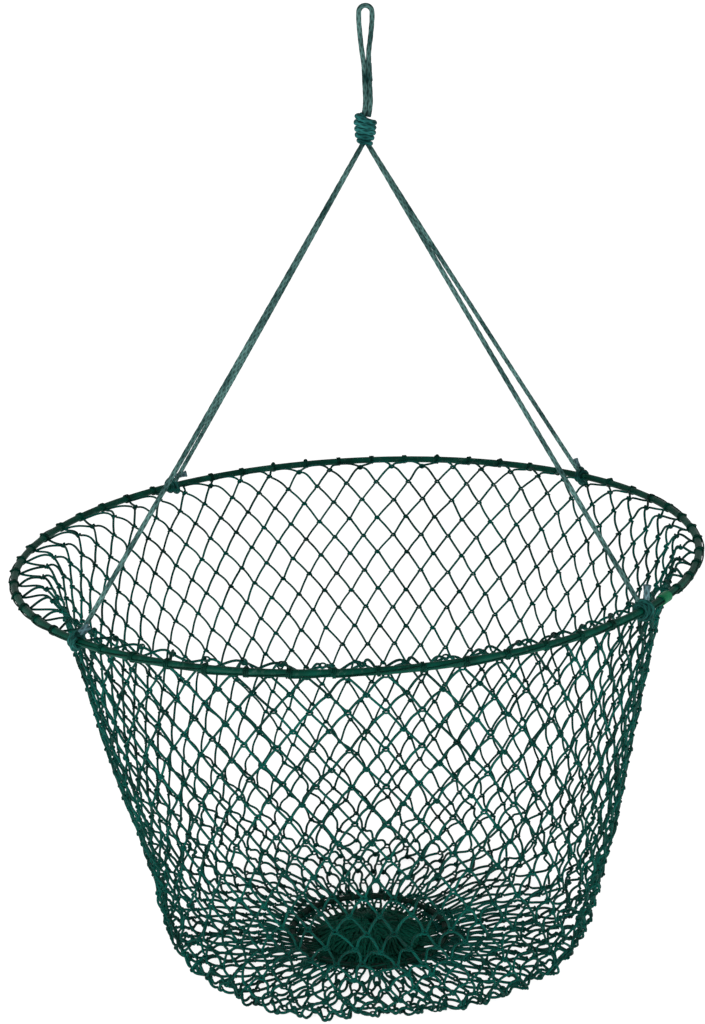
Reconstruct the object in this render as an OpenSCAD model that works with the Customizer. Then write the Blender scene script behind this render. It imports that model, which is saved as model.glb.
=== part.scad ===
// Folding crab trap: a netting basket on a hoop, hung from a rope bridle and a hand loop.
// Origin: the underside of the hand loop's top, where a hook bears. +Z up, the front at -Y.

/* [Hoop] */
// Diameter of the hoop, along its centre line
hoop_d = 762; // [500:1:900]
// Diameter of the steel rod inside the hoop's coating
hoop_rod_d = 6; // [4:0.5:8]
// Thickness of the hoop's coating
coating_t = 1; // [0.5:0.1:1.5]
// How far the hoop's centre hangs to the left of the hand loop
hoop_offset = 10; // [0:1:20]
// Tilt of the hoop, right side up, in degrees
hoop_roll = 2.9; // [0:0.1:4]
// Tilt of the hoop, rear side up, in degrees
hoop_pitch = 1.3; // [0:0.1:3]

/* [Bridle] */
// Diameter of the bridle rope
rope_d = 5; // [4:0.5:7]
// Height from the hoop's centre to the hand loop's bearing point
hoop_drop = 594; // [450:1:700]
// Height from the hand loop's bearing point down to where the loop flexes, just above the knot
loop_h = 107.5; // [100:0.5:140]
// Height of the bridle knot
knot_h = 33; // [24:1:36]
// Diameter of the bridle knot
knot_d = 24; // [20:1:30]
// Places of the four hitches round the hoop, in degrees from the right-hand side
hitch_angles = [222, 319.8, 127.2, 42.5];
// Length of hoop that each hitch covers
hitch_w = 17; // [10:1:24]

/* [Netting] */
// Number of meshes round the basket
meshes = 56; // [40:1:70]
// Depth of the basket, from the hoop's centre to the surface that it rests on
basket_h = 464; // [300:1:500]
// Radius of the netting wall just under the hoop, where its flare has died out
shoulder_r = 347; // [300:1:355]
// Radius of the netting wall at the base, before its corner turns in
base_r = 245; // [200:1:300]
// How far the base's centre lies to the right of the hand loop
base_offset = 15; // [0:1:20]
// Thickness of the netting
net_t = 2; // [1.5:0.1:3]

/* [Foot] */
// Diameter of the foot ring, along its centre line
foot_ring_d = 179; // [160:1:220]
// How far the foot ring's centre lies to the right of the hand loop
foot_ring_x = 6; // [0:1:15]
// How far the foot ring's centre lies in front of the hand loop
foot_ring_y = 24; // [0:1:40]
// Diameter of the steel rod inside the foot ring's coating
foot_rod_d = 5; // [4:0.5:6]
// Radius of the mound of gathered netting
gather_r = 66; // [50:1:68]
// How far the mound lies in front of the foot ring's centre
gather_y = 12; // [0:1:14]
// Height of the mound of gathered netting
gather_h = 19; // [12:1:25]

/* [Hidden] */
$fn = 48;

rope_r = rope_d / 2;
hoop_r = hoop_d / 2;
rod_r = hoop_rod_d / 2;
coat_r = rod_r + coating_t;
fit = 0.05;                    // gap between a ring and what is wrapped round it
part_gap = 0.5;                // gap between pieces that move apart
foot_z = -hoop_drop - basket_h;
floor_top = foot_z + net_t;

// Bridle.
strand_x = rope_r + 0.1;       // half the spacing of the loop's two strands
loop_bend = 7;                 // radius of the rope's centre line round the top of the loop
neck_z = -56;                  // where the two strands come together
flex = 1.5;                    // rope below the hinge line, and the gap under it
knot_top = -loop_h - 2 * flex - part_gap;
knot_bottom = knot_top - knot_h;
leg_spread = 4;                // distance of a leg's centre line from the axis, in the knot
leg_top = knot_bottom + 2;
hitch_r = coat_r + rope_d;

// Netting wall, from the hoop (t = 0) to the base (t = 1).
flare = 27;                    // extra radius at the hoop
flare_h = 6;                   // height in which the flare falls to a third
corner_r = 30;                 // radius of the corner where the wall turns in to the floor
wall_top = 7;                  // height between the hoop's centre and the wall's edge
sway = 2.2;                    // how far the wall's middle strays sideways: left high up, right low down
wall_segments = 56;
wall_stations = [0, 0.02, 0.045, 0.09, 0.18, 0.4, 0.65, 0.86, 0.935, 0.965, 0.985, 1];
floor_r = base_r - corner_r - part_gap;

// Foot.
foot_ring_r = foot_ring_d / 2;
foot_rod_r = foot_rod_d / 2;
foot_coat_r = foot_rod_r + 0.75;
lash_r = 1.6;                  // thickness of the twine lashings
foot_ring_z = floor_top + foot_coat_r + lash_r + 2 * fit;
dome_r = (gather_r * gather_r + gather_h * gather_h) / (2 * gather_h);
tie_r = 11;                    // outer radius of the drawstring's ring
tie_d = 3;
tie_z = gather_h - 5;          // height of the ring in the mound's dimple
tie_knot_r = 3.5;

// A ring of one closed section, swept through an angle about the Z axis.
module ring(r, outer, inner = 0, angle = 360, start = 0)
    rotate([0, 0, start])
        rotate_extrude(angle = angle, $fn = 180)
            translate([r, 0])
                difference() {
                    circle(outer);
                    if (inner > 0) circle(inner);
                }

// Wraps lying round a ring, of length w along it, centred at each angle in places.
module wraps(r, outer, inner, w, places) {
    span = w / r * 180 / PI;
    for (a = places) ring(r, outer, inner, span, a - span / 2);
}

// From the hoop's own frame to the trap's.
module at_hoop()
    translate([-hoop_offset, 0, -hoop_drop])
        rotate([hoop_pitch, -hoop_roll, 0]) children();

// A rotation about X and then Y, as rotate() makes it.
function turned(p, ax, ay) = let (
    y = p.y * cos(ax) - p.z * sin(ax),
    z = p.y * sin(ax) + p.z * cos(ax))
    [p.x * cos(ay) + z * sin(ay), y, -p.x * sin(ay) + z * cos(ay)];

function on_hoop(a) = turned([hoop_r * cos(a), hoop_r * sin(a), 0], hoop_pitch, -hoop_roll)
    + [-hoop_offset, 0, -hoop_drop];

function unit(v) = v / norm(v);
function in_knot(a) = [leg_spread * cos(a), leg_spread * sin(a), leg_top];
function leg_end(a) = on_hoop(a) + unit(in_knot(a) - on_hoop(a)) * (hitch_r + 2 * part_gap);

// A straight round rope from p to q.
module rope(p, q, r = rope_r) {
    v = q - p;
    translate(p)
        rotate([0, acos(v.z / norm(v)), atan2(v.y, v.x)])
            cylinder(r = r, h = norm(v));
}

// A tube swept along points in the XZ plane, with 12 sides.
sides = 12;
function heading(path, i) = let (n = len(path) - 1)
    unit(path[min(i + 1, n)] - path[max(i - 1, 0)]);
function section(path, i) = let (h = heading(path, i), across = [-h.z, 0, h.x])
    [for (s = [0 : sides - 1]) let (a = s * 360 / sides)
        path[i] + rope_r * (cos(a) * across + sin(a) * [0, 1, 0])];

module swept(path) {
    n = len(path);
    points = [for (i = [0 : n - 1]) each section(path, i)];
    faces = concat(
        [[for (s = [0 : sides - 1]) s]],
        [for (i = [0 : n - 2]) for (s = [0 : sides - 1]) let (
            a = i * sides + s, b = i * sides + (s + 1) % sides)
            each [[a, a + sides, b], [b, a + sides, b + sides]]],
        [[for (s = [sides - 1 : -1 : 0]) (n - 1) * sides + s]]);
    polyhedron(points, faces);
}

// One strand of the hand loop, from the hinge up to the top bend; side is -1 left or 1 right.
function strand(side) = [
    for (p = [[strand_x, -loop_h - flex], [strand_x, -94], [strand_x, -80], [strand_x, -66],
              [strand_x + 0.1, neck_z], [3.7, -44], [5.2, -32], [6.4, -20], [7, -12]])
        [side * p.x, 0, p.y]];
function top_bend() = [for (a = [180 : -20 : 0])
    [loop_bend * cos(a), 0, rope_r - loop_bend + loop_bend * sin(a)]];
function reversed(list) = [for (i = [len(list) - 1 : -1 : 0]) list[i]];

module hand_loop()
    color("darkslategray")
        swept(concat(strand(-1), top_bend(), reversed(strand(1))));

module loop_tail()
    color("darkslategray")
        rope([4.4, 4.7, neck_z - 4], [5.4, 4.7, neck_z - 21]);

// Three wraps of rope round a core, closing in to the legs below.
module bridle_knot() {
    wrap_r = knot_d / 4;
    pitch = (knot_h - 2 * wrap_r) / 2;
    color("seagreen")
        rotate_extrude()
            intersection() {
                union() {
                    for (i = [0 : 2])
                        translate([wrap_r - 0.6 * i * i, knot_top - wrap_r - i * pitch])
                            circle(wrap_r);
                    translate([0, knot_bottom + 1]) square([wrap_r, knot_h - 2]);
                }
                translate([0, knot_bottom]) square([knot_d, knot_h]);
            }
}

module leg(a) color("darkslategray") rope(in_knot(a), leg_end(a));
module leg_front_left() leg(hitch_angles[0]);
module leg_front_right() leg(hitch_angles[1]);
module leg_rear_left() leg(hitch_angles[2]);
module leg_rear_right() leg(hitch_angles[3]);

module hitch(a)
    color("seagreen")
        at_hoop() wraps(hoop_r, hitch_r, coat_r + fit, hitch_w, [a]);
module hitch_front_left() hitch(hitch_angles[0]);
module hitch_front_right() hitch(hitch_angles[1]);
module hitch_rear_left() hitch(hitch_angles[2]);
module hitch_rear_right() hitch(hitch_angles[3]);

// A cut end standing off a hitch: h high, and leaning by the given step in X and Y.
module tail(a, lean, h)
    color("cadetblue") {
        way = unit([lean.x, lean.y, h]);
        base = on_hoop(a) + [0, 0, hitch_r + rope_r * sqrt(1 - way.z * way.z) + 2 * fit];
        rope(base, base + [lean.x, lean.y, h]);
    }
module tail_front_left() tail(hitch_angles[0] + 1.2, [9, 3], 6);
module tail_front_right() tail(hitch_angles[1] + 0.6, [1, 1], 17);
module tail_rear_left() tail(hitch_angles[2] - 0.8, [14, 2], 3);
module tail_rear_right() tail(hitch_angles[3] + 0.8, [-5, 0], 11);

module hoop_rod() color("silver") at_hoop() ring(hoop_r, rod_r);

module hoop_coating()
    color("darkgreen") at_hoop() ring(hoop_r, coat_r, rod_r + fit);

module hoop_joint_sleeve()
    color("green") at_hoop() wraps(hoop_r, coat_r + 1.8, coat_r + fit, 16, [sleeve_angle]);

// Every mesh is lashed to the hoop, except where a hitch or the joint sleeve is.
sleeve_angle = 326.2;
function clear_of(a, places) = min([for (p = places) abs(a - p)]) > 2.3;
head_places = [for (i = [0 : meshes - 1]) let (a = (i + 0.5) * 360 / meshes)
    if (clear_of(a, concat(hitch_angles, [sleeve_angle]))) a];

module head_lashings()
    color("darkgreen")
        at_hoop() wraps(hoop_r, coat_r + lash_r, coat_r + fit, 5, head_places);

// Radius of the netting wall's outer skin, z down from the hoop.
function wall_r(z) = let (
    slope = (shoulder_r - base_r) / basket_h,
    down = max(0, z - basket_h + corner_r))
    shoulder_r - slope * z + flare * exp(-z / flare_h)
    - corner_r + sqrt(corner_r * corner_r - down * down);

// A point of the wall. Its centre strays from the hoop's to the base's, and the tilt fades out.
function wall_point(t, a, inset) = let (
    z = wall_top + t * (basket_h - wall_top - net_t),
    r = wall_r(z) - inset,
    x = r * cos(a),
    y = r * sin(a))
    [x - exp(-z / flare_h) * hoop_offset + t * base_offset - sway * sin(360 * t), y,
     -hoop_drop - z + (1 - t) * (x * sin(hoop_roll) + y * sin(hoop_pitch))];

module net_wall() {
    n = wall_segments;
    m = len(wall_stations);
    points = [for (inset = [0, net_t]) for (t = wall_stations) for (k = [0 : n - 1])
        wall_point(t, k * 360 / n, inset)];
    function at(skin, i, k) = (skin * m + i) * n + k % n;
    faces = concat(
        [for (i = [0 : m - 2]) for (k = [0 : n - 1]) each [
            [at(0, i, k), at(0, i, k + 1), at(0, i + 1, k)],
            [at(0, i, k + 1), at(0, i + 1, k + 1), at(0, i + 1, k)],
            [at(1, i, k), at(1, i + 1, k), at(1, i, k + 1)],
            [at(1, i, k + 1), at(1, i + 1, k), at(1, i + 1, k + 1)]]],
        [for (k = [0 : n - 1]) each [
            [at(0, 0, k), at(1, 0, k), at(0, 0, k + 1)],
            [at(0, 0, k + 1), at(1, 0, k), at(1, 0, k + 1)],
            [at(0, m - 1, k), at(0, m - 1, k + 1), at(1, m - 1, k)],
            [at(0, m - 1, k + 1), at(1, m - 1, k + 1), at(1, m - 1, k)]]]);
    color("teal", 0.4) polyhedron(points, faces);
}

module net_floor()
    color("teal")
        translate([base_offset, 0, foot_z])
            cylinder(r = floor_r - net_t, h = net_t, $fn = 180);

module at_foot_ring() translate([foot_ring_x, -foot_ring_y, foot_ring_z]) children();

module foot_ring_rod() color("silver") at_foot_ring() ring(foot_ring_r, foot_rod_r);

module foot_ring_coating()
    color("black") at_foot_ring() ring(foot_ring_r, foot_coat_r, foot_rod_r + fit);

module foot_lashings()
    color("darkgreen")
        at_foot_ring()
            wraps(foot_ring_r, foot_coat_r + lash_r, foot_coat_r + fit, 4,
                [for (i = [0 : meshes / 2 - 1]) i * 720 / meshes]);

// The middle of the mound's underside.
module at_gather() translate([foot_ring_x, -foot_ring_y - gather_y, floor_top + fit]) children();

// A low dome, with a dimple at the middle where the drawstring draws it in.
module net_gather()
    color("darkgreen")
        at_gather()
            rotate_extrude($fn = 96)
                difference() {
                    intersection() {
                        translate([0, gather_h - dome_r]) circle(dome_r, $fn = 360);
                        square([gather_r, gather_h]);
                    }
                    translate([0, gather_h]) circle(tie_r + tie_d / 2 + fit);
                }

module gather_tie()
    color("darkgreen") at_gather() translate([0, 0, tie_z]) ring(tie_r - tie_d / 2, tie_d / 2);

module gather_knot()
    color("darkgreen")
        at_gather()
            translate([0, tie_knot_r - tie_r, tie_z + tie_d / 2 + tie_knot_r + fit])
                sphere(tie_knot_r);

hand_loop();
loop_tail();
bridle_knot();
leg_front_left();
leg_front_right();
leg_rear_left();
leg_rear_right();
hitch_front_left();
hitch_front_right();
hitch_rear_left();
hitch_rear_right();
tail_front_left();
tail_front_right();
tail_rear_left();
tail_rear_right();
hoop_rod();
hoop_coating();
hoop_joint_sleeve();
head_lashings();
net_wall();
net_floor();
foot_ring_rod();
foot_ring_coating();
foot_lashings();
net_gather();
gather_tie();
gather_knot();
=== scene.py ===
"""Folding crab trap: knotted netting, braided ropes and a coated hoop, built round the CAD frame."""
import math

import bpy
import numpy as np
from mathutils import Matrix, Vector


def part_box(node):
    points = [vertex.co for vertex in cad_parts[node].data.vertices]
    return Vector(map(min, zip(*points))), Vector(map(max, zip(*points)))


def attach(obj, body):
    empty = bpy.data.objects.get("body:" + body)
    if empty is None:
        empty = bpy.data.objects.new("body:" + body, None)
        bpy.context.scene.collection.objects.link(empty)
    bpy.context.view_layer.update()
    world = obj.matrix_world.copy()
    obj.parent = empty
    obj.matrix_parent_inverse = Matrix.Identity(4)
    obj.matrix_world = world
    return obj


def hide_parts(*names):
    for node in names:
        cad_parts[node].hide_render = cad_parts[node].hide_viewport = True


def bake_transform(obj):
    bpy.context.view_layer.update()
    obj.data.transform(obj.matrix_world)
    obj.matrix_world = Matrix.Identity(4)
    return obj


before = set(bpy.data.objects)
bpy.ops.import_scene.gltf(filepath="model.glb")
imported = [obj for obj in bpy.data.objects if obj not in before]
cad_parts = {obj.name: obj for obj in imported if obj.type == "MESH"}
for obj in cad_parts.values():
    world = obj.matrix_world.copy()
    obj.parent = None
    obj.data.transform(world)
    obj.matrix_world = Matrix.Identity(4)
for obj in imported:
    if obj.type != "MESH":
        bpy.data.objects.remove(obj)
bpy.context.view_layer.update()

rng = np.random.default_rng(11)

# Driving sizes, in metres. The rest comes from the frame.
ROPE = 0.005            # thickness of the bridle rope
BRAID_STRANDS = 4       # strands that wind each way in the rope's braid
BRAID_PITCH = 0.011     # distance along the rope from one strand to the next
LASHING = 0.0018        # thickness of the lashing twine
LASHING_KNOT = 0.42     # size of a lashing's knot against its template
TWINE = 0.0028          # thickness of the netting twine
TWINE_PITCH = 0.006     # distance along the twine from one strand to the next
KNOT_SIZE = 0.74        # size of a netting knot against its template
KNOT_DEPTH = 1.8        # how far a knot reaches below its middle, in twines
MESHES = 56             # meshes round the basket
BAR = 0.029             # length of one side of a mesh
NET_T = 0.002           # thickness of the netting's CAD skin
SHOULDER_R = 0.347      # radius of the netting just under the hoop
BASE_R = 0.245          # radius of the netting at the base
CORNER_R = 0.030        # radius of the corner between wall and floor
FLARE = 0.027           # how much wider the netting is at the hoop itself
FLARE_H = 0.006         # depth in which most of that width is gone
WALL_TOP = 0.007        # depth of the netting wall's edge below the hoop
SWAY = 0.0022           # how far the wall's upper half strays sideways
SWAY_BELOW = 2.3        # how many times as far its lower half strays
SKEW = 0.011            # how far the base's front strays to the left
SWELL = 0.03            # how much the base bulges at SWELL_AT, as a share of its radius
SWELL_AT = 4.2          # where it bulges, as an angle round the basket
SLACK_FROM = 0.31       # how far down the netting starts to go slack
SLACK_OVER = 0.13       # length over which it goes fully slack
GATHER_H = 0.019        # height of the mound inside the foot ring

TAU = 2 * math.pi
STEP = TAU / MESHES


# ---------------------------------------------------------------- frame

def unit(v):
    return v / np.linalg.norm(v, axis=-1, keepdims=True)


def box_of(node):
    lo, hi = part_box(node)
    return np.array(lo), np.array(hi)


def points_of(node):
    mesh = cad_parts[node].data
    v = np.empty(len(mesh.vertices) * 3)
    mesh.vertices.foreach_get("co", v)
    return v.reshape(-1, 3)


class Ring:
    """The circle that a CAD ring's rod follows."""

    def __init__(self, node):
        v = points_of(node)
        self.c = (v.min(0) + v.max(0)) / 2
        n = np.linalg.svd(v - self.c, full_matrices=False)[2][2]
        self.n = n * np.sign(n[2])
        self.e1 = unit(np.array([1.0, 0, 0]) - self.n[0] * self.n)
        self.e2 = np.cross(self.n, self.e1)
        flat = np.hypot((v - self.c) @ self.e1, (v - self.c) @ self.e2)
        self.r = (flat.min() + flat.max()) / 2
        self.section = (flat.max() - flat.min()) / 2

    def angle(self, p):
        return math.atan2((p - self.c) @ self.e2, (p - self.c) @ self.e1)

    def out(self, a):
        a = np.asarray(a, float)[..., None]
        return np.cos(a) * self.e1 + np.sin(a) * self.e2

    def along(self, a):
        a = np.asarray(a, float)[..., None]
        return -np.sin(a) * self.e1 + np.cos(a) * self.e2

    def at(self, a, out=0.0, up=0.0):
        """A point beside the ring at angle a."""
        return self.c + self.out(a) * (self.r + out) + self.n * up


hoop = Ring("hoop_coating")
foot_ring = Ring("foot_ring_coating")
floor_lo, floor_hi = box_of("net_floor")
gather_lo, gather_hi = box_of("net_gather")
knot_lo, knot_hi = box_of("bridle_knot")
FOOT_Z = floor_lo[2]
base_c = (floor_lo + floor_hi)[:2] / 2
gather_c = (gather_lo + gather_hi)[:2] / 2
GATHER_R = (gather_hi - gather_lo)[0] / 2
BASKET_H = hoop.c[2] - FOOT_Z
PLACES = ("front_left", "front_right", "rear_left", "rear_right")
hitch_angle = {p: hoop.angle(sum(box_of("hitch_" + p)) / 2) for p in PLACES}
sleeve_angle = hoop.angle(sum(box_of("hoop_joint_sleeve")) / 2)


# ---------------------------------------------------------------- camera

def make_camera():
    """The camera stands six hoop radii in front of the hoop, and looks down at the basket."""
    camera = bpy.data.objects.new("camera", bpy.data.cameras.new("camera"))
    bpy.context.scene.collection.objects.link(camera)
    back, up, aside = 6.0 * hoop.r, 1.773 * hoop.r, -0.0135
    down = math.radians(15.43)
    camera.location = (aside, hoop.c[1] - back, hoop.c[2] + up)
    camera.rotation_euler = (math.pi / 2 - down, 0, 0)
    camera.data.sensor_width = 36
    camera.data.lens = 74.5
    camera.data.clip_start, camera.data.clip_end = 0.05, 200
    bpy.context.scene.camera = camera


make_camera()


# ---------------------------------------------------------------- meshes

def smooth_path(points, per):
    """A Catmull-Rom curve through the points, with per steps between two of them."""
    p = np.asarray(points, float)
    q = np.vstack([2 * p[0] - p[1], p, 2 * p[-1] - p[-2]])
    out = []
    for a, b, c, d in zip(q[:-3], q[1:-2], q[2:-1], q[3:]):
        for t in np.arange(per) / per:
            out.append(0.5 * (2 * b + (c - a) * t + (2 * a - 5 * b + 4 * c - d) * t * t
                              + (3 * b - a - 3 * c + d) * t ** 3))
    out.append(p[-1])
    return np.array(out)


def evenly(path, spacing):
    """The same line, with points the given distance apart."""
    s = np.r_[0, np.cumsum(np.linalg.norm(np.diff(path, axis=0), axis=1))]
    n = max(2, round(s[-1] / spacing) + 1)
    t = np.linspace(0, s[-1], n)
    return np.stack([np.interp(t, s, path[:, i]) for i in range(3)], 1)


class Tubes:
    """Collects tubes, then makes one mesh object of them, with UVs that run round and along."""

    def __init__(self):
        self.v, self.f, self.uv, self.n = [], [], [], 0

    def add(self, paths, radius, sides=6, up=(0.0, 0.0, 1.0), relief=None):
        """paths is (tubes, points, 3) or one path. radius is a number, or one a point.
        relief(round, along) scales the radius, round in turns and along in metres."""
        p = np.asarray(paths, float)
        if p.ndim == 2:
            p = p[None]
        n, m, _ = p.shape
        tang = unit(np.gradient(p, axis=1))
        side = np.cross(tang[:, 0], np.broadcast_to(np.asarray(up, float), (n, 3)))
        bad = np.linalg.norm(side, axis=1) < 1e-3
        side[bad] = np.cross(tang[bad, 0], [1.0, 0.3, 0.1])
        across = np.empty_like(p)
        for i in range(m):
            side = unit(side - (side * tang[:, i]).sum(1, keepdims=True) * tang[:, i])
            across[:, i] = side
        other = np.cross(tang, across)
        run = np.concatenate([np.zeros((n, 1)), np.cumsum(
            np.linalg.norm(np.diff(p, axis=1), axis=2), axis=1)], axis=1)
        turn = np.arange(sides) / sides
        r = np.broadcast_to(np.asarray(radius, float), (n, m))[:, :, None]
        r = np.broadcast_to(r, (n, m, sides))
        if relief is not None:
            r = r * relief(turn[None, None, :], run[:, :, None])
        a = TAU * turn
        ring = (p[:, :, None] + r[..., None] * (np.cos(a)[:, None] * across[:, :, None]
                                                + np.sin(a)[:, None] * other[:, :, None]))
        tube = np.arange(n)[:, None, None] * m * sides
        row = np.arange(m - 1)[None, :, None] * sides
        s0 = np.arange(sides)[None, None, :]
        s1 = (s0 + 1) % sides
        base = self.n + tube + row
        quads = np.stack(np.broadcast_arrays(base + s0, base + s1, base + s1 + sides,
                                             base + s0 + sides), -1).reshape(-1, 4)
        v0 = np.broadcast_to(run[:, :-1, None], (n, m - 1, sides))
        v1 = np.broadcast_to(run[:, 1:, None], (n, m - 1, sides))
        u0 = np.broadcast_to(turn, (n, m - 1, sides))
        u1 = u0 + 1 / sides
        uv = np.stack([np.stack([u0, v0], -1), np.stack([u1, v0], -1),
                       np.stack([u1, v1], -1), np.stack([u0, v1], -1)], -2)
        self.f += quads.tolist()
        self.uv.append(uv.reshape(-1, 2))
        caps = self.n + np.arange(n)[:, None] * m * sides + np.arange(sides)[::-1]
        self.f += caps.tolist()
        self.f += (caps[:, ::-1] + (m - 1) * sides).tolist()
        self.uv.append(np.zeros((2 * n * sides, 2)))
        self.v.append(ring.reshape(-1, 3))
        self.n += n * m * sides

    def stamp(self, template, origins, axes, scale=1.0):
        """Copies of a template, one at each origin, turned to axes (n, 3 axes, 3)."""
        tv = np.concatenate(template.v)
        v = origins[:, None] + scale * np.einsum("mk,nkj->nmj", tv, axes)
        faces = template.f
        for i in range(len(origins)):
            off = self.n + i * len(tv)
            self.f += [[k + off for k in f] for f in faces]
        self.uv += [u for _ in origins for u in template.uv]
        self.v.append(v.reshape(-1, 3))
        self.n += len(origins) * len(tv)

    def make(self, name, material):
        return mesh_object(name, np.concatenate(self.v), self.f, material,
                           np.concatenate(self.uv))


def mesh_object(name, verts, faces, material, uv=None):
    mesh = bpy.data.meshes.new(name)
    mesh.from_pydata(verts.tolist(), [], faces)
    if uv is not None:
        layer = mesh.uv_layers.new(name="UVMap")
        layer.data.foreach_set("uv", uv.astype(np.float32).ravel())
    mesh.polygons.foreach_set("use_smooth", np.ones(len(mesh.polygons), bool))
    mesh.update()
    obj = bpy.data.objects.new(name, mesh)
    bpy.context.scene.collection.objects.link(obj)
    mesh.materials.append(material)
    return obj


def braid(depth=0.13):
    """Relief of a braided cord: two sets of strands that wind opposite ways, over and under."""
    def relief(turn, run):
        a = BRAID_STRANDS * turn + run / BRAID_PITCH
        b = BRAID_STRANDS * turn - run / BRAID_PITCH
        over = np.sin(TAU * (a + b) / 4) * np.sin(TAU * (a - b) / 4) > 0
        crown = np.where(over, np.abs(np.sin(math.pi * a)), np.abs(np.sin(math.pi * b)))
        return 1 - depth + depth * np.sqrt(crown)
    return relief


# ---------------------------------------------------------------- materials

class Shader:
    """A principled material, and short ways to add nodes to it."""

    def __init__(self, name, rough=0.6, **sockets):
        self.m = bpy.data.materials.new(name)
        self.m.use_nodes = True
        self.t = self.m.node_tree
        self.p = self.t.nodes["Principled BSDF"]
        self.p.inputs["Roughness"].default_value = rough
        self.p.inputs["Specular IOR Level"].default_value = 0.05
        for key, value in sockets.items():
            self.p.inputs[key].default_value = value

    def node(self, kind, links=(), **values):
        n = self.t.nodes.new(kind)
        for key, value in values.items():
            if key in n.inputs:
                n.inputs[key].default_value = value
            else:
                setattr(n, key, value)
        for key, source in links:
            self.t.links.new(source, n.inputs[key])
        return n

    def noise(self, scale, detail=3.0, rough=0.55):
        where = self.node("ShaderNodeTexCoord").outputs["Object"]
        return self.node("ShaderNodeTexNoise", [("Vector", where)], Scale=scale,
                         Detail=detail, Roughness=rough).outputs["Fac"]

    def ramp(self, source, *stops):
        n = self.node("ShaderNodeValToRGB", [("Fac", source)])
        while len(n.color_ramp.elements) < len(stops):
            n.color_ramp.elements.new(0.5)
        for e, (place, colour) in zip(n.color_ramp.elements, stops):
            e.position = place
            e.color = (*colour, 1)
        return n.outputs["Color"]

    def mix(self, share, a, b, kind="MIX"):
        n = self.node("ShaderNodeMix", data_type="RGBA", blend_type=kind)
        for socket, value in ((n.inputs[0], share), (n.inputs[6], a), (n.inputs[7], b)):
            if isinstance(value, (int, float)):
                socket.default_value = value
            elif isinstance(value, tuple):
                socket.default_value = (*value, 1)
            else:
                self.t.links.new(value, socket)
        return n.outputs[2]

    def twist(self, turns, pitch):
        """Helical strands of a twisted twine, from UVs that run round and along."""
        uv = self.node("ShaderNodeTexCoord").outputs["UV"]
        at = self.node("ShaderNodeSeparateXYZ", [("Vector", uv)])
        lead = self.node("ShaderNodeMath", [(0, at.outputs["Y"])], operation="DIVIDE")
        lead.inputs[1].default_value = pitch
        round_ = self.node("ShaderNodeMath", [(0, at.outputs["X"])], operation="MULTIPLY")
        round_.inputs[1].default_value = turns
        both = self.node("ShaderNodeMath", [(0, lead.outputs[0]), (1, round_.outputs[0])],
                         operation="ADD")
        tooth = self.node("ShaderNodeMath", [(0, both.outputs[0])], operation="PINGPONG")
        tooth.inputs[1].default_value = 0.5
        return tooth.outputs[0]

    def bump(self, height, distance, strength):
        """Adds relief on top of any that is there already."""
        last = self.p.inputs["Normal"]
        links = [("Height", height)]
        if last.is_linked:
            links.append(("Normal", last.links[0].from_socket))
        n = self.node("ShaderNodeBump", links, Strength=strength, Distance=distance)
        self.t.links.new(n.outputs["Normal"], last)

    def colour(self, source):
        self.t.links.new(source, self.p.inputs["Base Color"])

    def roughness(self, source, low, high):
        n = self.node("ShaderNodeMapRange", [("Value", source)])
        n.inputs["To Min"].default_value, n.inputs["To Max"].default_value = low, high
        self.t.links.new(n.outputs["Result"], self.p.inputs["Roughness"])


def twine_material(name, dark, light):
    """Twisted polyethylene twine: helical strands with painted shade in the grooves between them,
    uneven dye, a little sheen.
    """
    s = Shader(name)
    strands = s.twist(3, TWINE_PITCH)
    patches = s.noise(26, 4)
    dye = s.ramp(patches, (0.35, dark), (0.68, light))
    # painted shade: the dye is darkened in the grooves between the twisted strands
    shade = s.ramp(strands, (0.0, (0.45, 0.45, 0.45)), (0.45, (1.0, 1.0, 1.0)))
    s.colour(s.mix(1.0, dye, shade, "MULTIPLY"))
    s.roughness(patches, 0.42, 0.72)
    s.bump(strands, TWINE * 0.3, 0.8)
    s.bump(s.noise(1600, 2), TWINE * 0.06, 0.5)
    return s.m


def rope_material(name, dark, light):
    """Braided cord: pale crowns, painted shade in the hollows between the strands, a few faded
    stretches.
    """
    s = Shader(name)
    left, right = s.twist(BRAID_STRANDS, BRAID_PITCH), s.twist(BRAID_STRANDS, -BRAID_PITCH)
    weave = s.node("ShaderNodeMath", [(0, left), (1, right)], operation="MAXIMUM").outputs[0]
    faded = s.noise(34, 4)
    dye = s.ramp(faded, (0.34, dark), (0.66, light))
    # painted shade: the dye is darkened down to 0.3 in the hollows of the braid
    shade = s.ramp(weave, (0.12, (0.3, 0.3, 0.3)), (0.5, (1.0, 1.0, 1.0)))
    s.colour(s.mix(1.0, dye, shade, "MULTIPLY"))
    s.roughness(faded, 0.6, 0.85)
    s.bump(weave, ROPE * 0.16, 0.7)
    s.bump(s.noise(1400, 2), ROPE * 0.03, 0.6)
    return s.m


def coating_material(name, dark, light, low, high):
    """Dipped plastic coating: slight runs and pits, scuffed pale where it has rubbed."""
    s = Shader(name)
    pits = 0.0003
    runs = s.noise(42, 4)
    scuff = s.noise(160, 5, 0.7)
    worn = s.ramp(scuff, (0.55, (0.0, 0.0, 0.0)), (0.72, (1.0, 1.0, 1.0)))
    body = s.ramp(runs, (0.3, dark), (0.7, light))
    pale = tuple(min(1.0, 0.5 * c + 0.06) for c in light)
    s.colour(s.mix(worn, body, s.mix(0.4, light, pale)))
    s.roughness(scuff, low, high)
    s.bump(runs, pits * 2, 0.5)
    s.bump(scuff, pits, 0.4)
    return s.m


def steel_material():
    """Drawn steel rod, hidden in its coating."""
    s = Shader("drawn_steel", Metallic=1.0)
    grain = s.noise(900, 3)
    s.colour(s.ramp(grain, (0.3, (0.30, 0.31, 0.31)), (0.7, (0.5, 0.51, 0.5))))
    s.roughness(grain, 0.3, 0.5)
    s.bump(grain, 0.0001, 0.4)
    return s.m


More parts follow.
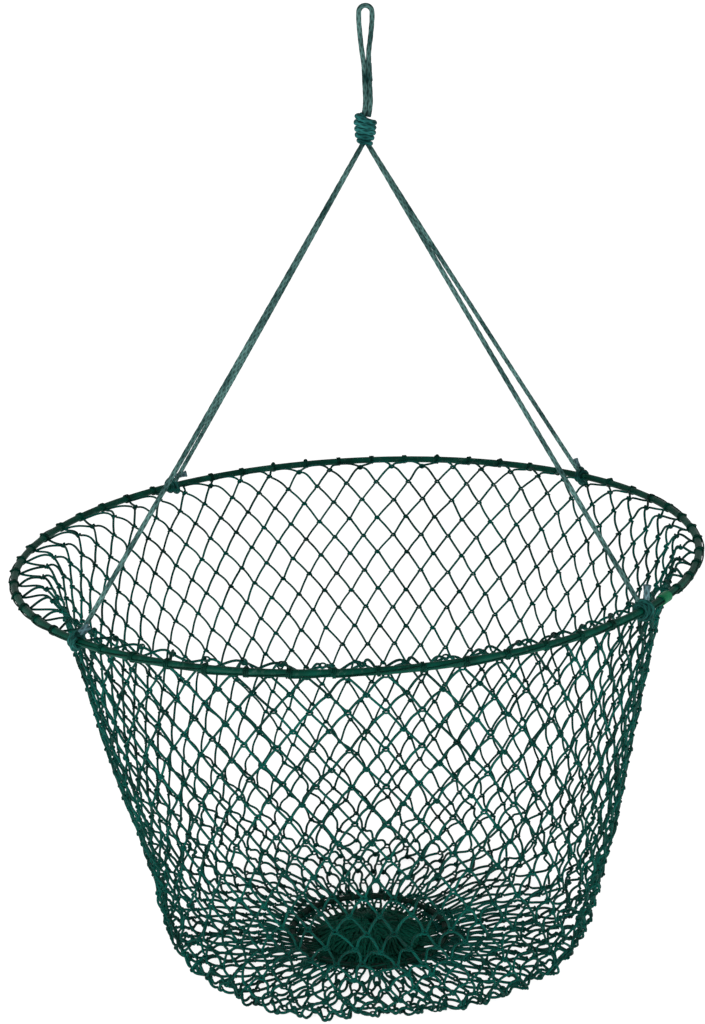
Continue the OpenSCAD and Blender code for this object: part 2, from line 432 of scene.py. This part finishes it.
NET = twine_material("net_twine", (0.0, 0.023, 0.0175), (0.0002, 0.083, 0.064))
# painted shade: a darker copy of the net twine, for the shade within the gathered netting and its
# mound
NET_SHADED = twine_material("bunched_twine_painted_shade", (0.0, 0.019, 0.0115), (0.0002, 0.062, 0.04))
LASH = twine_material("lashing_twine", (0.0, 0.017, 0.011), (0.0002, 0.05, 0.033))
ROPE_GREY = rope_material("bridle_rope", (0.006, 0.036, 0.034), (0.1, 0.215, 0.198))
ROPE_GREEN = rope_material("knotted_rope", (0.002, 0.042, 0.041), (0.028, 0.19, 0.18))
HITCH = rope_material("hitched_rope", (0.001, 0.026, 0.022), (0.014, 0.11, 0.096))
ROPE_END = rope_material("cut_rope", (0.035, 0.085, 0.095), (0.11, 0.2, 0.225))
COATING = coating_material("hoop_coating", (0.0, 0.022, 0.0135), (0.0002, 0.05, 0.032), 0.35, 0.6)
SLEEVE = coating_material("joint_sleeve", (0.001, 0.05, 0.02), (0.004, 0.15, 0.06), 0.3, 0.5)
# painted shade: the hoop's coating made nearly black for the foot ring, which lies low among the
# bunched netting
SHADED_COATING = coating_material("foot_coating_painted_shade", (0.0005, 0.006, 0.004), (0.001, 0.014, 0.009),
                                0.35, 0.6)
STEEL = steel_material()


def paint(node, material):
    """Gives a CAD node its material."""
    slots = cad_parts[node].data.materials
    slots.clear()
    slots.append(material)


for node, material in (("hoop_rod", STEEL), ("foot_ring_rod", STEEL), ("hoop_coating", COATING),
                       ("hoop_joint_sleeve", SLEEVE), ("foot_ring_coating", SHADED_COATING)):
    paint(node, material)


# ---------------------------------------------------------------- bridle

KNOT_TOP, KNOT_BOTTOM = knot_hi[2], knot_lo[2]
LEG_SPREAD = 0.004                  # how far from the knot's middle the legs leave it
LEG_TOP = KNOT_BOTTOM + 0.002       # height at which they do, a little inside the knot
LEG_SAG = 0.0015                    # how far the middle of a leg hangs below a straight line
COAT_R = hoop.section               # outer radius of the hoop's coating
COIL_R = COAT_R + ROPE * 0.44       # radius of a hitch's turns round it


def leg_ends(place):
    """Where a leg leaves the knot, and where it reaches its hitch."""
    a = hitch_angle[place]
    foot = hoop.at(a)
    top = np.array([LEG_SPREAD * math.cos(a), LEG_SPREAD * math.sin(a), LEG_TOP])
    return top, foot + unit(top - foot) * (COAT_R + ROPE + 0.001)


def make_leg(place):
    """A taut bridle rope, from the knot to its hitch."""
    top, end = leg_ends(place)
    share = np.linspace(0, 1, 25)
    path = top + share[:, None] * (end - top)
    path[:, 2] -= np.sin(math.pi * share) * LEG_SAG
    tube = Tubes()
    tube.add(evenly(path, 0.0011), ROPE / 2 * 1.06, sides=20, relief=braid())
    leg = tube.make("bridle_rope_" + place, ROPE_GREY)
    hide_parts("leg_" + place)
    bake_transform(leg)


for place in PLACES:
    make_leg(place)


def make_hand_loop():
    """The doubled rope with its teardrop loop, from the knot up and back down to it."""
    loop_lo, loop_hi = box_of("hand_loop")
    half = ROPE / 2 + 0.0001
    bend = (loop_hi[0] - loop_lo[0]) / 2 - ROPE / 2
    top = loop_hi[2] - ROPE / 2 - bend
    strand = [(half, KNOT_TOP - 0.002), (half, -0.098), (half, -0.08), (half, -0.066),
              (half + 0.0001, -0.056), (0.0037, -0.044), (0.0052, -0.032), (0.0064, -0.02),
              (bend, -0.012)]
    arc = [(bend * math.cos(a), top + bend * math.sin(a))
           for a in np.radians(np.arange(0, 181, 20))]
    line = strand + arc + [(-x, z) for x, z in reversed(strand)]
    wave = [0.0006 * math.sin(170 * z + 3 * (x > 0)) for x, z in line]
    path = np.array([(x, y, z) for (x, z), y in zip(line, wave)])
    path[:, 0] += np.interp(path[:, 2], [KNOT_TOP, -0.1, -0.066, -0.044],
                            [0.001, 0.003, 0.0016, 0])      # the stem leans to the right
    path = smooth_path(path, 4)
    tube = Tubes()
    tube.add(evenly(path, 0.0009), ROPE / 2 * 1.12, sides=20, up=(0, 1, 0), relief=braid())
    loop = tube.make("hand_loop_rope", ROPE_GREY)
    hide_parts("hand_loop")
    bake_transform(loop)


make_hand_loop()


# ---------------------------------------------------------------- knots and hitches

def cap_centres(node):
    """The middles of a straight CAD rope's two ends, the one nearer the hoop or knot first."""
    v = points_of(node)
    c = v.mean(0)
    t = (v - c) @ np.linalg.svd(v - c, full_matrices=False)[2][0]
    return sorted((v[t < t.min() + 1e-5].mean(0), v[t > t.max() - 1e-5].mean(0)),
                  key=lambda p: p[2])


def cut_end(node, name, body, flare):
    """A short cut end of rope: its tip swells where the strands have loosened."""
    base, tip = cap_centres(node)
    if node == "loop_tail":
        base, tip = tip, base
    way = tip - base
    path = evenly(np.array([base - 0.15 * way, tip]), 0.0005)
    s = np.linspace(0, 1, len(path))
    swell = 1 + flare * (0.35 + 0.65 * s ** 3)
    swell[-3:] *= (0.93, 0.72, 0.35)
    path[-2:] += unit(way) * np.array([[-0.0002], [-0.0009]])
    tube = Tubes()
    tube.add(path, ROPE / 2 * swell, sides=20, up=(0.3, 1, 0.1), relief=braid(depth=0.2))
    end = tube.make(name, ROPE_END)
    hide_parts(node)
    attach(end, body)


cut_end("loop_tail", "hand_loop_cut_end", "loop", 0.15)


def make_bridle_knot():
    """Rope wound round the gathered legs, drawn tight; the first turns lie aslant."""
    share = np.linspace(0, 1, 240)
    a = TAU * 4.6 * share + 2.6
    height = KNOT_TOP - KNOT_BOTTOM
    thick = ROPE / 2 * np.interp(share, [0, 0.1, 0.75, 1], [1.12, 1.26, 1.2, 1.0])
    z = KNOT_TOP - 0.003 - share * (height - 0.0058) - 0.0024 * np.cos(a) * (1 - share) ** 2
    r = np.interp(share, [0, 0.06, 0.3, 0.62, 0.8, 1],
                  [0.0078, 0.0092, 0.0094, 0.0090, 0.0066, 0.0060])
    r = r + 0.0004 * np.sin(2.3 * a)
    tube = Tubes()
    tube.add(np.stack([r * np.cos(a), r * np.sin(a), z], 1), thick, sides=18,
             relief=braid(depth=0.16))
    inner = 0.0044
    tube.add(np.stack([inner * np.cos(a), inner * np.sin(a), z + 0.001], 1), ROPE / 2,
             sides=10)
    knot = tube.make("bridle_knot_rope", ROPE_GREEN)
    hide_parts("bridle_knot")
    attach(knot, "bridle")


make_bridle_knot()


def make_hitch(place):
    """The leg's rope wound round the hoop, crossed back over its own turns and tucked under."""
    turns = 2.6
    edge = 0.0058           # how far the outer turns lie from the hitch's middle, along the hoop
    a0 = hitch_angle[place]
    c, along, out, up = hoop.at(a0), hoop.along(a0), hoop.out(a0), hoop.n
    end = leg_ends(place)[1]
    first = math.atan2((end - c) @ up, (end - c) @ out)
    base = cap_centres("tail_" + place)[0]
    last = math.atan2((base - c) @ up, (base - c) @ out)
    share = np.linspace(0, 1, 150)
    wound = first + TAU * turns * share
    over = TAU * 0.9 + (last - wound[-1]) % TAU
    back = np.linspace(0, 1, 60)[1:]
    angle = np.r_[wound, wound[-1] + over * back]
    r = np.r_[np.interp(share, [0, 0.1, 0.94, 1], [np.linalg.norm(end - c), COIL_R, COIL_R,
                                                   COIL_R + 0.0016]),
              COIL_R + np.interp(back, [0, 0.25, 0.8, 1], [0.0016, 0.0030, 0.0030, 0.0016])]
    u = np.r_[np.interp(share, [0, 0.13, 1], [0, -edge, edge]),
              np.interp(back, [0, 0.55, 1], [edge, -0.6 * edge, (base - c) @ along])]
    path = (c + u[:, None] * along + (r * np.cos(angle))[:, None] * out
            + (r * np.sin(angle))[:, None] * up)
    tube = Tubes()
    tube.add(path, ROPE / 2 * 0.96, sides=16, up=along, relief=braid(depth=0.16))
    hitch = tube.make("hitch_rope_" + place, HITCH)
    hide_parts("hitch_" + place)
    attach(hitch, "hoop")
    cut_end("tail_" + place, "hitch_cut_end_" + place, "hoop", 0.85)


for place in PLACES:
    make_hitch(place)


# ---------------------------------------------------------------- lashings

def knot_template():
    """A sheet bend in the netting twine: a bight, and a strand wound round it."""
    bight = smooth_path([(-1.3, -1.0, 0.2), (-0.95, 0.1, 0.3), (-0.5, 0.95, 0.35),
                         (0.5, 0.95, 0.35), (0.95, 0.1, 0.3), (1.3, -1.0, 0.2)], 2)
    wound = smooth_path([(1.1, 1.35, 0.0), (0.5, 0.6, 0.9), (-0.7, 0.2, 1.1), (-1.5, -0.1, 0.3),
                         (-1.1, -0.4, -0.8), (0.2, -0.45, -1.05), (1.4, -0.35, -0.5),
                         (1.4, -0.45, 0.6), (0.2, -0.6, 1.25), (-0.9, -0.2, 0.95),
                         (-1.1, 1.35, 0.0)], 2)
    made = Tubes()
    for path in (bight, wound):
        made.add(path * TWINE, TWINE / 2, sides=6, up=(0.1, 0.2, 1))
    return made


KNOT = knot_template()


def wrapped(ring, angles, turns, pitch, start):
    """Twine wound round a ring, centred at each angle."""
    share = np.linspace(-0.5, 0.5, int(turns * 12) + 1)
    spread = rng.normal(1, 0.12, (len(angles), 1))
    phase = start + TAU * turns * share + rng.normal(0, 0.5, (len(angles), 1))
    r = ring.section + LASHING * 0.45
    lead = turns * pitch * share * spread
    return (ring.at(angles)[:, None] + lead[..., None] * ring.along(angles)[:, None]
            + r * np.cos(phase)[..., None] * ring.out(angles)[:, None]
            + r * np.sin(phase)[..., None] * ring.n)


def beside(ring, angles, phase, r):
    """Points at the given phases round the ring's section, and at distance r from its middle."""
    return ring.at(angles) + (ring.out(angles) * np.cos(phase)[..., None]
                              + ring.n * np.sin(phase)[..., None]) * np.asarray(r)[..., None]


def lash(ring, angles, turns, pitch, name, node, body, lump_phase):
    """Twine lashings on a ring, each with its knot, and the run of twine that joins them."""
    tubes = Tubes()
    tubes.add(wrapped(ring, angles, turns, pitch, lump_phase), LASHING / 2, sides=6, up=ring.n)
    phase = lump_phase + rng.normal(0, 0.35, len(angles))
    at = beside(ring, angles, phase, ring.section + LASHING * 0.6)
    face = unit(at - ring.at(angles))
    along = ring.along(angles)
    axes = np.stack([along, np.cross(face, along), face], 1)
    tubes.stamp(KNOT, at, axes, LASHING_KNOT)
    for a, b in zip(angles, np.roll(angles, -1)):
        gap = (b - a) % TAU
        share = np.linspace(0, 1, 9)
        low = lump_phase - 0.9 + rng.normal(0, 0.2) + 0.6 * share
        slack = 1 + 0.1 * abs(rng.normal()) * np.sin(math.pi * share)
        tubes.add(beside(ring, a + gap * share, low, (ring.section + LASHING * 0.45) * slack),
                  LASHING / 2, sides=6, up=ring.n)
    lashing = tubes.make(name, LASH)
    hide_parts(node)
    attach(lashing, body)


def clear_of_hitches(a, gap=math.radians(2.3)):
    """Whether a place on the hoop has room for a lashing beside the hitches and the sleeve."""
    return all(abs((a - b + math.pi) % TAU - math.pi) > gap
               for b in (*hitch_angle.values(), sleeve_angle))


head_angles = np.array([a for a in (np.arange(MESHES) + 0.5) * STEP if clear_of_hitches(a)])
lash(hoop, head_angles, 2.5, LASHING, "head_lashing_twine", "head_lashings", "hoop", 0.5)
lash(foot_ring, np.arange(MESHES / 2) * 2 * STEP, 2.0, LASHING, "foot_lashing_twine",
     "foot_lashings", "foot", 1.2)


# ---------------------------------------------------------------- netting

DOME_R = (GATHER_R ** 2 + GATHER_H ** 2) / (2 * GATHER_H)
LEAN = -hoop.n[:2] / hoop.n[2]      # rise of the hoop's plane along X and Y

# Stations along the netting, stretch by stretch, and where three of the stretches end
AT_HOOP, ON_WALL, ON_CORNER, ON_FLOOR, IN_RING, ON_MOUND = 2, 50, 14, 10, 5, 12
LIP = AT_HOOP + ON_WALL + ON_CORNER - 1
UNDER_RING = LIP + ON_FLOOR
MOUND_EDGE = UNDER_RING + IN_RING


def meridian():
    """Stations down the netting, from the hoop to the middle of the mound: the row's centre,
    radius and height, and its share of the hoop's lean."""
    rows = [(hoop.c[0], 0, hoop.r - COAT_R - TWINE / 2, hoop.c[2] - 0.002, 1),
            (hoop.c[0] * 0.3, 0, 0.354, hoop.c[2] - 0.0012, 1)]
    down = np.sin(np.linspace(0.06, 1, ON_CORNER) * math.pi / 2) * CORNER_R
    wall = np.linspace(0.016, BASKET_H - CORNER_R, ON_WALL)
    for d in np.r_[wall, BASKET_H - CORNER_R + down]:
        low = max(0.0, d - BASKET_H + CORNER_R) / CORNER_R
        inset = NET_T / 2 + 0.0014 * low
        share = (d - WALL_TOP) / (BASKET_H - WALL_TOP - NET_T)
        slope = (SHOULDER_R - BASE_R) / BASKET_H
        turn = math.sqrt(max(0.0, 1 - low * low))
        r = SHOULDER_R - slope * d + FLARE * math.exp(-d / FLARE_H) - CORNER_R * (1 - turn)
        sway = SWAY * (1 if share < 0.5 else SWAY_BELOW) * math.sin(TAU * share)
        rows.append((hoop.c[0] * math.exp(-d / FLARE_H) + base_c[0] * share - sway, 0,
                     r - inset * turn, hoop.c[2] - d + inset * low, max(0.0, 1 - share)))
    edge, ring_r, lie = rows[-1][2], foot_ring.r, FOOT_Z + TWINE
    for s in np.linspace(0.1, 1, ON_FLOOR):
        c = base_c * (1 - s) + foot_ring.c[:2] * s
        rows.append((*c, edge * (1 - s) + ring_r * s, lie, 0))
    for s in np.linspace(0.2, 1, IN_RING):
        c = foot_ring.c[:2] * (1 - s) + gather_c * s
        rows.append((*c, ring_r * (1 - s) + GATHER_R * s, lie, 0))
    for r in np.linspace(GATHER_R * 0.97, 0.004, ON_MOUND):
        rise = math.sqrt(DOME_R ** 2 - r * r) - (DOME_R - GATHER_H)
        rows.append((*gather_c, r, lie + rise, 0))
    return np.array(rows, float)


STATIONS = meridian()
RUN = np.r_[0, np.cumsum(np.hypot(np.diff(STATIONS[:, 2]), np.diff(STATIONS[:, 3])))]
LIP_RUN = RUN[LIP]                  # where the wall has turned in to the floor
RING_RUN = RUN[UNDER_RING]          # where the netting passes under the foot ring
MOUND_RUN = RUN[MOUND_EDGE]         # where the mound begins


def surface(s, a):
    """The netting's own surface, s metres down from the hoop, at angle a. Low on the wall it
    bulges at SWELL_AT, and its front strays to the left."""
    cx, cy, r, z, tilt = (np.interp(s, RUN, STATIONS[:, i]) for i in range(5))
    low = np.interp(s, [LIP_RUN - 0.12, LIP_RUN, RING_RUN], [0, 1, 0])
    r = r * (1 + SWELL * low * np.exp(-((a % TAU - SWELL_AT) / 0.35) ** 2))
    x, y = r * np.cos(a), r * np.sin(a)
    x = x - SKEW * low * np.clip(-np.sin(a), 0, 1)
    return np.stack([cx + x, cy + y, z + tilt * (x * LEAN[0] + y * LEAN[1])], -1)


def axes_at(s, a):
    """Along the row, up the meridian, and out of the basket."""
    t = unit(surface(s, a + 1e-3) - surface(s, a - 1e-3))
    m = surface(s - 1e-3, a) - surface(s + 1e-3, a)
    m = unit(m - (m * t).sum(-1, keepdims=True) * t)
    return np.stack([t, m, np.cross(t, m)], -2)


def slack_at(s):
    """How slack the netting is: 0 where it hangs taut, 1 low down, less again on the floor."""
    t = np.clip((s - SLACK_FROM) / SLACK_OVER, 0, 1)
    return t * t * (3 - 2 * t) * np.interp(s, [LIP_RUN, LIP_RUN + 0.08], [1, 0.4])


def row_runs():
    """How far down each row of knots lies. A mesh is taller where it is narrower, and slack
    netting bunches up."""
    runs = [0.0, RUN[1]]
    while True:
        r = np.interp(runs[-1], RUN, STATIONS[:, 2])
        step = math.sqrt(BAR ** 2 - (math.pi * r / MESHES) ** 2) * (1 - 0.3 * slack_at(runs[-1]))
        if runs[-1] + step > RUN[-1] - 0.006:
            return np.array(runs)
        runs.append(runs[-1] + step)


ROWS = row_runs()


def make_layer(lift=0.0, shift=0.0, rough=1.0):
    """Places, axes and runs of every knot, row by row. A gathered layer lies lift inside the
    surface, turned by the angle shift, and more roughly."""
    knots = []
    for j, s in enumerate(ROWS):
        a = (np.arange(MESHES) + 0.5 * ((j + 1) % 2)) * STEP + shift
        slack = 0.4 + slack_at(s)
        free = 0.0 if j == 0 else rough * slack
        s = s + rng.normal(0, 0.0018, MESHES) * free
        a = a + rng.normal(0, 0.0018, MESHES) * free / np.interp(s, RUN, STATIONS[:, 2])
        axes = axes_at(s, a)
        wave = (np.sin(5 * a + 11 * s) + 0.7 * np.sin(9 * a - 17 * s + 1)
                + 0.5 * np.sin(3 * a + 29 * s + 2)) * 0.0012 * slack * min(1.0, ROWS[j] / 0.1)
        wave += rng.normal(0, 0.0012, MESHES) * free - lift
        wave -= 0.002 * slack_at(ROWS[j]) * (ROWS[j] < LIP_RUN)
        p = surface(s, a) + wave[:, None] * axes[:, 2]
        p[:, 2] = np.maximum(p[:, 2], FOOT_Z + KNOT_DEPTH * TWINE * KNOT_SIZE)
        knots.append((p, axes, s))
    return knots


def bars_between(upper, lower, side, bulge, slack, top):
    """The bars that go down from a row of knots to the row below, onwards round the basket for
    side 1 and back for -1. Each is a cubic curve that leaves its upper knot and reaches its lower
    one a little aslant, more so where the netting is slack, and stands out by bulge."""
    (p, f, _), (q, g, _) = upper, lower
    d = TWINE * KNOT_SIZE
    start = p + (0 if top else d) * (1.25 * side * f[:, 0] - 0.95 * f[:, 1] + 0.2 * f[:, 2])
    end = q + d * (-1.05 * side * g[:, 0] + 1.3 * g[:, 1])
    chord = np.linalg.norm(end - start, axis=1)[:, None]
    lean = np.abs(((end - start) * f[:, 0]).sum(1, keepdims=True)) / chord
    lean = np.clip(lean, 0.1, 0.85)
    curl = 0.07 + 0.3 * slack + rng.normal(0, 0.04 + 0.1 * slack, lean.shape)
    leave = unit((lean + curl) * side * f[:, 0] - np.sqrt(1 - lean ** 2) * f[:, 1])
    curl = 0.05 + 0.25 * slack + rng.normal(0, 0.04 + 0.1 * slack, lean.shape)
    reach = unit((lean - curl) * side * g[:, 0] - np.sqrt(1 - lean ** 2) * g[:, 1])
    t = np.linspace(0, 1, 8)[None, :, None]
    start, end = start[:, None], end[:, None]
    leave, reach = (leave * chord)[:, None], (reach * chord)[:, None]
    path = ((2 * t ** 3 - 3 * t ** 2 + 1) * start + (t ** 3 - 2 * t ** 2 + t) * leave
            + (3 * t ** 2 - 2 * t ** 3) * end + (t ** 3 - t ** 2) * reach)
    each = (len(p), 1, 1)
    amount = bulge * rng.normal(1, 0.3, each) + slack * rng.normal(0, 0.0022, each)
    path = path + amount * np.sin(math.pi * t) * (f[:, None, 2] * (1 - t) + g[:, None, 2] * t)
    path[..., 2] = np.maximum(path[..., 2], FOOT_Z + TWINE * 0.55)
    return path


def add_rows(tubes, layer, first, last):
    """Knots of the rows from first up to last, and the bars that reach them from above."""
    for j in range(first, last):
        p, axes, _ = layer[j]
        turned = axes * (1 if j % 2 else np.array([-1, 1, -1])[:, None])
        tubes.stamp(KNOT, p, turned, KNOT_SIZE)
        lying = 1.0 if ROWS[j] < LIP_RUN else 0.35
        for side, bulge in ((-1, -0.0022), (1, 0.0006)):
            hop = int(side > 0) - int(j % 2 == 0)       # every other row is half a mesh along
            below = tuple(np.roll(x, -hop, axis=0) for x in layer[j])
            slack = slack_at(ROWS[j])
            bars = bars_between(layer[j - 1], below, side, bulge * lying * (1 + slack), slack,
                                j == 1)
            loose = TWINE / 2 * (1 + 0.14 * min(1.0, ROWS[j] / LIP_RUN) ** 6)
            tubes.add(bars, loose, sides=6, up=(0.13, 0.2, 0.97))


def make_netting():
    """The netting in four pieces. The upper two reach from hoop to foot; the lower two go with the
    foot.
    """
    layer = make_layer()
    lip = int(np.searchsorted(ROWS, LIP_RUN - 0.012))
    inner = int(np.searchsorted(ROWS, RING_RUN)) + 1
    mound = int(np.searchsorted(ROWS, MOUND_RUN)) + 1
    middle = lip // 2
    for name, first, last in (("netting_upper", 1, middle), ("netting_lower", middle, lip),
                              ("netting_floor", lip, inner),
                              ("netting_gathered", inner, len(ROWS))):
        tubes = Tubes()
        add_rows(tubes, layer, first, last)
        bunched = name == "netting_gathered"
        if bunched:
            for lift, shift in ((0.003, 0.4), (0.0015, 0.75)):
                add_rows(tubes, make_layer(lift, shift * STEP, 1.6), mound, last)
        # the gathered netting takes the darker twine, painted shade of the bunched meshes
        net = tubes.make(name, NET_SHADED if bunched else NET)
        if first >= lip:
            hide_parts("net_gather" if bunched else "net_floor")
            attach(net, "foot")
        else:
            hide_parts("net_wall")
            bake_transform(net)


make_netting()


# ---------------------------------------------------------------- mound

def make_mound():
    """Meshes bunched by the drawstring: a low heap, ridged round its middle and lumpy."""
    turns, rings = 168, 34
    r = np.linspace(1, 0, rings + 1)[:-1] ** 0.9 * GATHER_R
    a = np.arange(turns) / turns * TAU
    rr, aa = np.meshgrid(r, a, indexing="ij")
    rise = np.sqrt(DOME_R ** 2 - rr ** 2) - (DOME_R - GATHER_H)
    fold = np.sin(28 * aa + 5 * np.sin(3 * aa) + 60 * rr) + 0.6 * np.sin(47 * aa - 90 * rr)
    lump = rng.normal(0, 1, rr.shape)
    lump = (lump + np.roll(lump, 1, 1) + np.roll(lump, -1, 1)) / 3
    edge = np.clip((GATHER_R - rr) / 0.012, 0, 1)
    z = floor_hi[2] + rise * 0.92 + edge * (0.0010 * fold + 0.0009 * lump) - 0.0012
    dip = 0.004 * np.exp(-(rr / 0.011) ** 2)
    v = np.stack([gather_c[0] + rr * np.cos(aa), gather_c[1] + rr * np.sin(aa), z - dip], -1)
    v = v.reshape(-1, 3)
    top = np.array([[*gather_c, v[-turns:, 2].mean()]])
    under = v[:turns] * (1, 1, 0) + (0, 0, floor_hi[2] + 0.0001)
    k = np.arange(turns)
    nxt = (k + 1) % turns
    faces = []
    for i in range(rings - 1):
        faces += np.stack([i * turns + k, i * turns + nxt, (i + 1) * turns + nxt,
                           (i + 1) * turns + k], 1).tolist()
    n = rings * turns
    faces += np.stack([(rings - 1) * turns + k, (rings - 1) * turns + nxt,
                       np.full(turns, n)], 1).tolist()
    faces += np.stack([n + 1 + k, n + 1 + nxt, nxt, k], 1).tolist()
    faces.append((n + 1 + k[::-1]).tolist())
    # the mound's darker twine colour is painted shade of the bunched meshes
    mound = mesh_object("bunched_netting", np.vstack([v, top, under]), faces, NET_SHADED)
    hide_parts("net_gather")
    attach(mound, "foot")


make_mound()


def make_drawstring():
    """The cord that draws the netting in, and its knot."""
    lo, hi = box_of("gather_tie")
    r, thick = (hi - lo)[0] / 2 - (hi - lo)[2] / 2, (hi - lo)[2]
    a = np.linspace(0, TAU, 97)
    path = np.stack([gather_c[0] + r * np.cos(a), gather_c[1] + r * np.sin(a),
                     (lo + hi)[2] / 2 + 0.0003 * np.sin(5 * a)], 1)
    string = Tubes()
    string.add(path, thick / 2, sides=10)
    string = string.make("drawstring", LASH)
    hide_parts("gather_tie")
    lo, hi = box_of("gather_knot")
    knot = Tubes()
    knot.stamp(KNOT, np.array([(lo + hi) / 2]), np.eye(3)[None], 0.9 * (hi - lo)[0] / TWINE / 2.6)
    knot = knot.make("drawstring_knot", LASH)
    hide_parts("gather_knot")
    for piece in (string, knot):
        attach(piece, "foot")


make_drawstring()


# ---------------------------------------------------------------- stage

def make_stage():
    """A white floor that fills the view, a sky that is white at the horizon and dimmer overhead,
    and two soft lights."""
    half = 150.0
    s = Shader("white_floor", 0.9)
    s.p.inputs["Emission Color"].default_value = (1, 1, 1, 1)
    s.p.inputs["Emission Strength"].default_value = 0.85
    s.colour(s.ramp(s.noise(0.6, 2), (0.0, (0.30, 0.30, 0.30)), (1.0, (0.33, 0.33, 0.33))))
    corners = np.array([(-half, -half, 0), (half, -half, 0), (half, half, 0), (-half, half, 0)])
    floor = mesh_object("floor", corners + (0, 0, FOOT_Z - 0.0002), [[0, 1, 2, 3]], s.m)
    world = bpy.data.worlds.new("world")
    bpy.context.scene.world = world
    world.use_nodes = True
    sky = world.node_tree
    where = sky.nodes.new("ShaderNodeTexCoord")
    height = sky.nodes.new("ShaderNodeSeparateXYZ")
    fade = sky.nodes.new("ShaderNodeMapRange")
    fade.inputs["From Min"].default_value, fade.inputs["From Max"].default_value = 0.15, 0.6
    fade.inputs["To Min"].default_value, fade.inputs["To Max"].default_value = 1.0, 0.65
    sky.links.new(where.outputs["Generated"], height.inputs["Vector"])
    sky.links.new(height.outputs["Z"], fade.inputs["Value"])
    sky.links.new(fade.outputs["Result"], sky.nodes["Background"].inputs["Strength"])
    sky.nodes["Background"].inputs["Color"].default_value = (1, 1, 1, 1)
    for name, spot, watts in (("key", (-0.75, -0.95, -0.75), 8.5),
                              ("fill", (0.75, -0.95, -0.75), 7)):
        light = bpy.data.lights.new(name, "AREA")
        light.size, light.energy = 0.5, watts
        lamp = bpy.data.objects.new(name, light)
        lamp.location = spot
        lamp.visible_camera = False
        aim = Vector((0, -0.25, -0.85)) - Vector(spot)
        lamp.rotation_euler = aim.to_track_quat("-Z", "Y").to_euler()
        bpy.context.scene.collection.objects.link(lamp)
    bpy.context.scene.view_settings.view_transform = "Standard"


make_stage()
